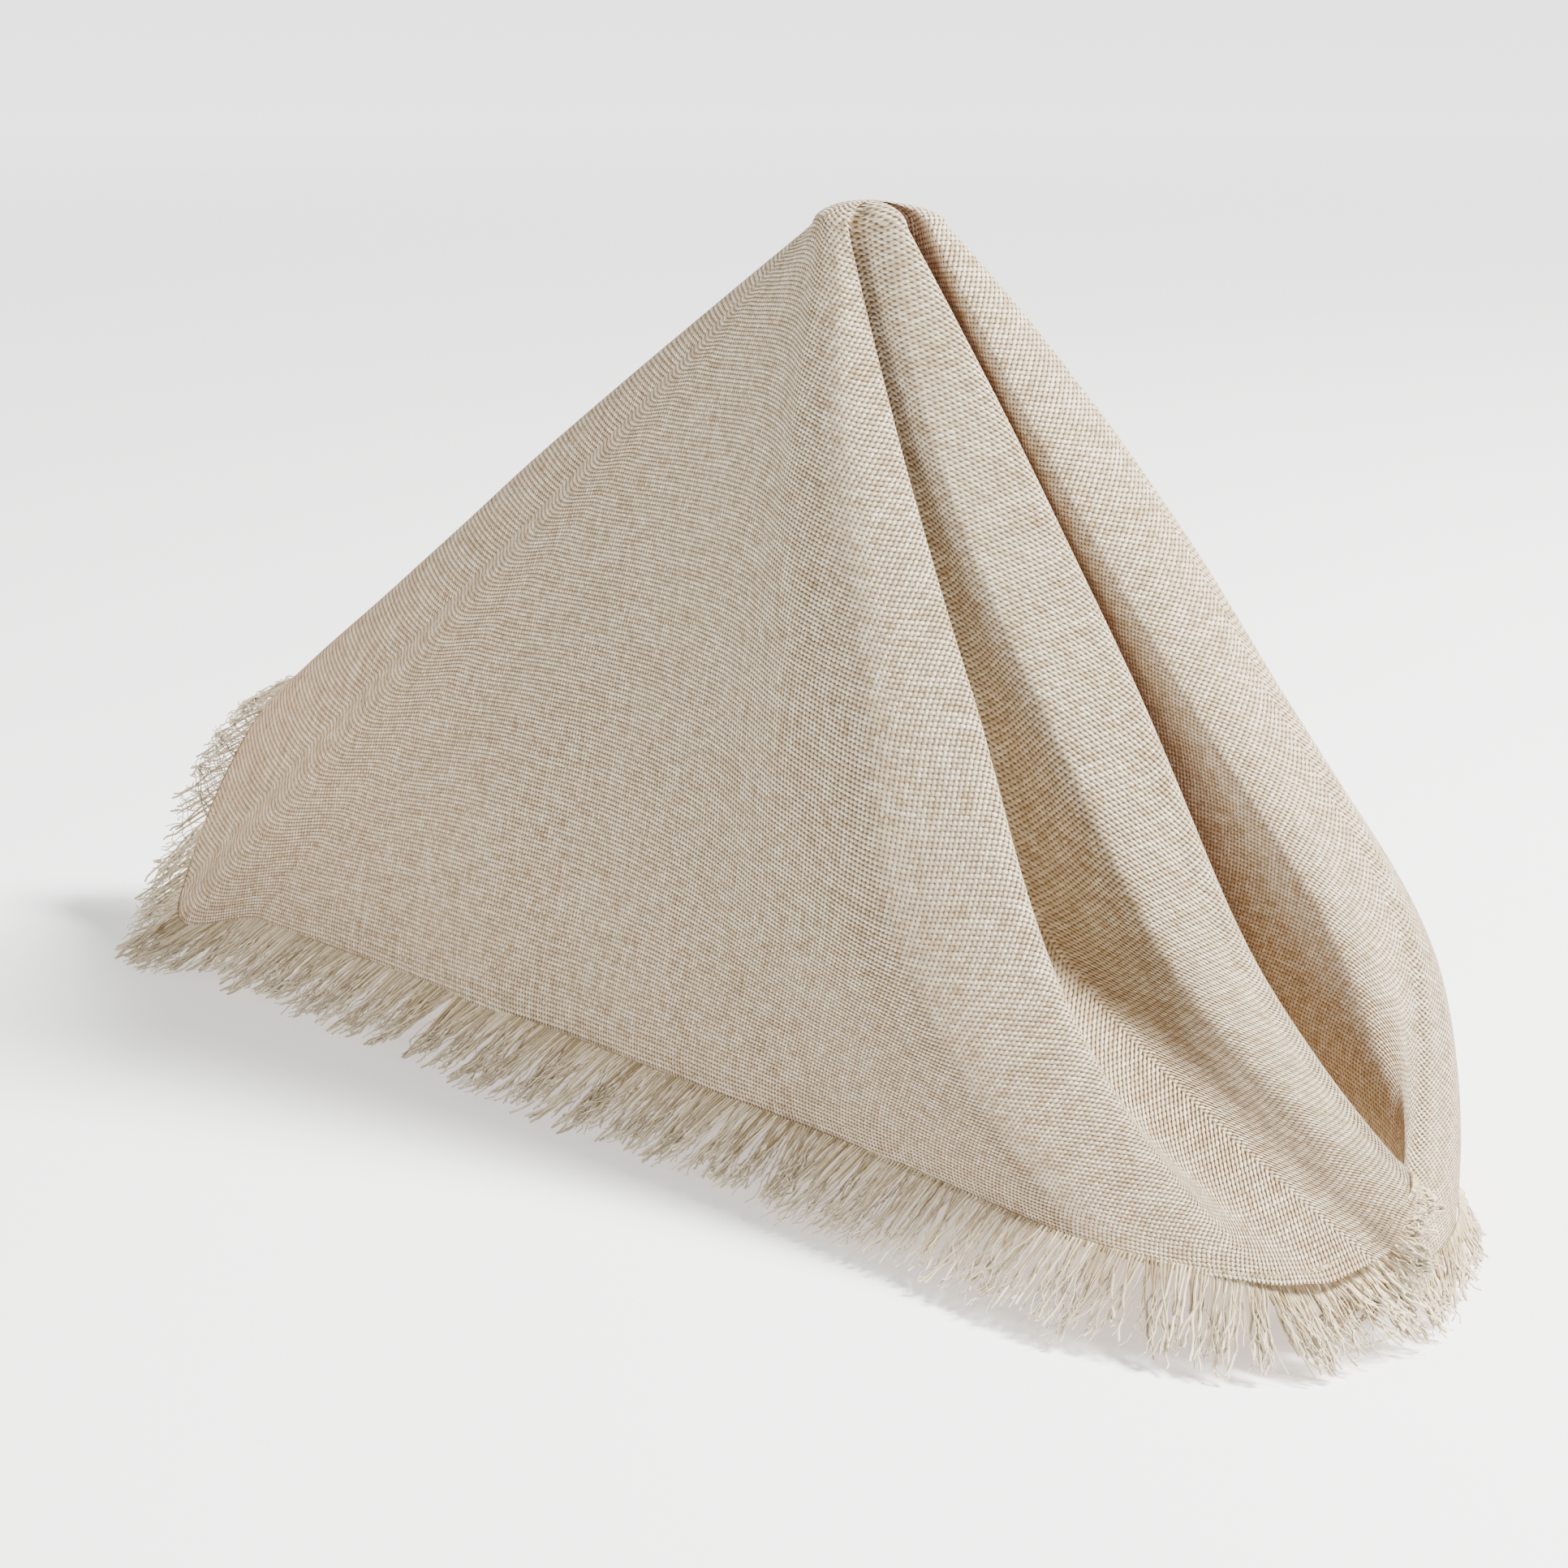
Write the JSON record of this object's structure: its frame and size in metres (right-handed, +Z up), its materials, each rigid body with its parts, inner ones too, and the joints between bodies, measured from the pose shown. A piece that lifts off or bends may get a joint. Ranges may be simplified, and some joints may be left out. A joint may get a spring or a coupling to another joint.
{
  "type": "folded cloth napkin",
  "caption": "Square woven table napkin with fringed edges, folded corner to corner twice and stood up as an open pleated tent.",
  "frame": {"origin": "middle of the part's bounding box, on the floor the napkin stands on", "axes": "+Z up from the floor to the fold's point, +X towards the open pleats at the front, -Y out of the wide near face"},
  "size_m": [0.3304, 0.1252, 0.156],
  "materials": {
    "linen": "matt plain weave",
    "fringe_yarn": "matt loose yarn"
  },
  "bodies": {
    "root": {"cloth": "linen", "fringe_near": "fringe_yarn", "fringe_front": "fringe_yarn", "fringe_inner_near": "fringe_yarn", "fringe_inner_far": "fringe_yarn", "fringe_tongue": "fringe_yarn", "fringe_far": "fringe_yarn"}
  },
  "joints": []
}
